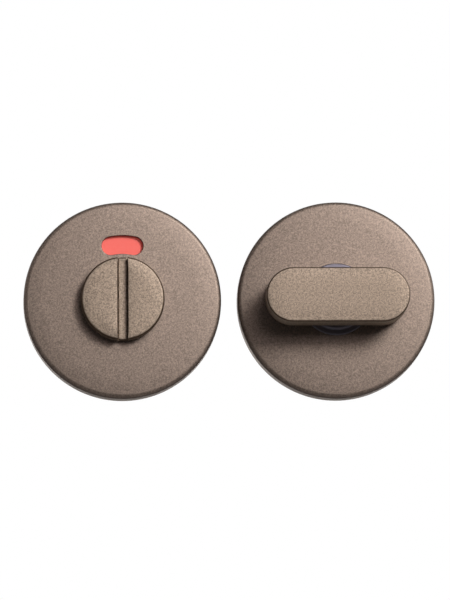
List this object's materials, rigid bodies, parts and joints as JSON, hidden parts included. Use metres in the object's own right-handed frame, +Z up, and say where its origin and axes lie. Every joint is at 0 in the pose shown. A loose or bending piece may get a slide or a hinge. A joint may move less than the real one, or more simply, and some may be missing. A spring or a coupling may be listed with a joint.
{
  "type": "bathroom thumb turn lock",
  "caption": "Bathroom door turn set on round roses: an obround thumb turn with a square spindle inside, a slotted coin release with a red and white indicator window outside.",
  "frame": {"origin": "on the thumb turn's spindle axis, in the plane of the door face behind the inside rose", "axes": "+X to the right seen from the front, +Y into the door, +Z up; both roses face -Y"},
  "size_m": [0.1082, 0.07, 0.052],
  "materials": {
    "bronze_lacquer": "satin metallic bronze lacquer with a fine grain",
    "moulded_nylon": "moulded black nylon",
    "white_acetal": "smooth white acetal",
    "zinc_plated_steel": "bright zinc plated steel",
    "spring_steel": "dark spring steel",
    "plated_collar": "bright blue zinc plated",
    "indicator_face": "red field beside a white field"
  },
  "bodies": {
    "roses": {"turn_cover": "bronze_lacquer", "turn_base": "moulded_nylon", "turn_collar": "plated_collar", "turn_thrust_washer": "white_acetal", "fixing_screws": "zinc_plated_steel", "turn_snap_ring": "spring_steel", "release_cover": "bronze_lacquer", "release_base": "moulded_nylon", "release_bush": "white_acetal", "release_thrust_washer": "white_acetal", "threaded_posts": "zinc_plated_steel", "release_snap_ring": "spring_steel"},
    "thumb_turn": {"thumb_turn": "bronze_lacquer", "spindle": "zinc_plated_steel", "spindle_grub_screw": "spring_steel", "turn_disc_spring": "spring_steel", "turn_circlip": "spring_steel"},
    "release_turn": {"release_turn": "bronze_lacquer", "indicator_disc": "indicator_face", "release_disc_spring": "spring_steel", "release_circlip": "spring_steel"}
  },
  "joints": [
    {"name": "thumb_turn_turn", "type": "hinge", "parent": "roses", "child": "thumb_turn", "pos_m": [0, 0, 0], "axis": [0, -1, 0], "range_deg": [0, 90]},
    {"name": "release_turn_turn", "type": "hinge", "parent": "roses", "child": "release_turn", "pos_m": [-0.05625, 0, 0], "axis": [0, 1, 0], "range_deg": [0, 90]}
  ]
}
